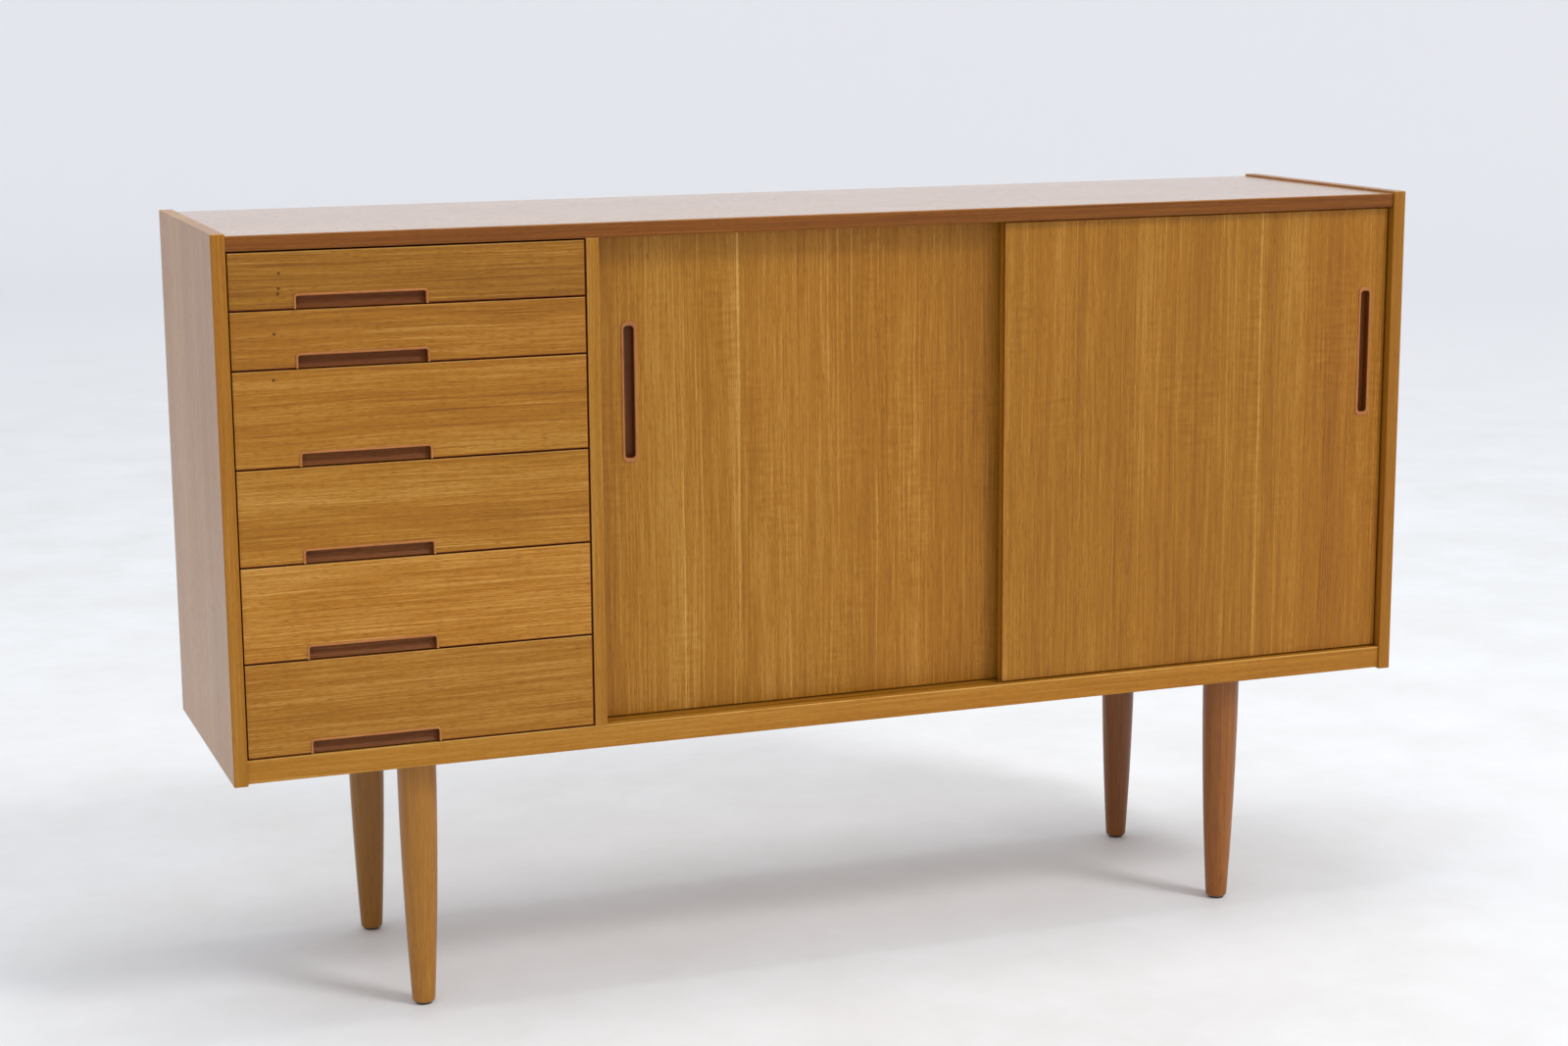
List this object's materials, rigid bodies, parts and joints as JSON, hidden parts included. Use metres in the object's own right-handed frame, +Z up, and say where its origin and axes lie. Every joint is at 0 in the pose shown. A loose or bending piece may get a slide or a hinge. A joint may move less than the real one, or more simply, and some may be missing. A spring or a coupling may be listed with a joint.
{
  "type": "sideboard buffet",
  "caption": "Long low teak sideboard: a column of drawers with inlaid pulls beside sliding doors on two tracks, on round tapered legs",
  "frame": {"origin": "on the floor, under the middle of the case's width and depth", "axes": "+X to the right as seen from the front, +Y from the front to the back, +Z up; the drawers and doors face -Y"},
  "size_m": [1.6, 0.4, 0.98],
  "materials": {
    "teak_panels": "vertical teak veneer, satin lacquer",
    "teak_top": "long teak veneer, satin lacquer",
    "teak_edging": "solid teak, redder, satin lacquer",
    "teak_doors": "vertical teak veneer in several leaves, satin lacquer",
    "teak_fronts": "golden teak veneer with the grain across, satin lacquer",
    "teak_pulls": "solid teak, redder and darker, oiled",
    "teak_legs": "turned solid teak, satin lacquer",
    "teak_interior": "plain teak veneer, thin lacquer",
    "beech": "pale solid beech, waxed",
    "plywood": "thin plywood, unpolished",
    "steel": "zinc-plated steel",
    "dark_plastic": "dark moulded plastic"
  },
  "bodies": {
    "case": {"left_side_panel": "teak_panels", "right_side_panel": "teak_panels", "drawer_divider": "teak_panels", "top_board": "teak_top", "top_front_edging": "teak_edging", "bottom_front_rail": "teak_edging", "front_left_leg": "teak_legs", "front_right_leg": "teak_legs", "back_left_leg": "teak_legs", "back_right_leg": "teak_legs", "bottom_board": "teak_interior", "center_partition": "teak_interior", "left_shelf": "teak_interior", "right_shelf": "teak_interior", "left_drawer_runners": "beech", "right_drawer_runners": "beech", "carcass_dowels": "beech", "back_panel": "plywood", "wood_screws": "steel", "leg_bolts": "steel", "leg_plates": "steel", "shelf_pins": "steel", "foot_glides": "dark_plastic"},
    "drawer_1": {"drawer_1_front": "teak_fronts", "drawer_1_pull": "teak_pulls", "drawer_1_sides": "beech", "drawer_1_back": "beech", "drawer_1_bottom": "plywood"},
    "drawer_2": {"drawer_2_front": "teak_fronts", "drawer_2_pull": "teak_pulls", "drawer_2_sides": "beech", "drawer_2_back": "beech", "drawer_2_bottom": "plywood"},
    "drawer_3": {"drawer_3_front": "teak_fronts", "drawer_3_pull": "teak_pulls", "drawer_3_sides": "beech", "drawer_3_back": "beech", "drawer_3_bottom": "plywood"},
    "drawer_4": {"drawer_4_front": "teak_fronts", "drawer_4_pull": "teak_pulls", "drawer_4_sides": "beech", "drawer_4_back": "beech", "drawer_4_bottom": "plywood"},
    "drawer_5": {"drawer_5_front": "teak_fronts", "drawer_5_pull": "teak_pulls", "drawer_5_sides": "beech", "drawer_5_back": "beech", "drawer_5_bottom": "plywood"},
    "drawer_6": {"drawer_6_front": "teak_fronts", "drawer_6_pull": "teak_pulls", "drawer_6_sides": "beech", "drawer_6_back": "beech", "drawer_6_bottom": "plywood"},
    "left_door": {"left_door_panel": "teak_doors", "left_door_handle": "teak_pulls", "left_door_glides": "dark_plastic"},
    "right_door": {"right_door_panel": "teak_doors", "right_door_handle": "teak_pulls", "right_door_glides": "dark_plastic"}
  },
  "joints": [
    {"name": "drawer_1_slide", "type": "slide", "parent": "case", "child": "drawer_1", "axis": [0, -1, 0], "range_m": [0, 0.289]},
    {"name": "drawer_2_slide", "type": "slide", "parent": "case", "child": "drawer_2", "axis": [0, -1, 0], "range_m": [0, 0.289]},
    {"name": "drawer_3_slide", "type": "slide", "parent": "case", "child": "drawer_3", "axis": [0, -1, 0], "range_m": [0, 0.289]},
    {"name": "drawer_4_slide", "type": "slide", "parent": "case", "child": "drawer_4", "axis": [0, -1, 0], "range_m": [0, 0.289]},
    {"name": "drawer_5_slide", "type": "slide", "parent": "case", "child": "drawer_5", "axis": [0, -1, 0], "range_m": [0, 0.289]},
    {"name": "drawer_6_slide", "type": "slide", "parent": "case", "child": "drawer_6", "axis": [0, -1, 0], "range_m": [0, 0.289]},
    {"name": "left_door_slide", "type": "slide", "parent": "case", "child": "left_door", "axis": [1, 0, 0], "range_m": [0, 0.544]},
    {"name": "right_door_slide", "type": "slide", "parent": "case", "child": "right_door", "axis": [-1, 0, 0], "range_m": [0, 0.544]}
  ]
}
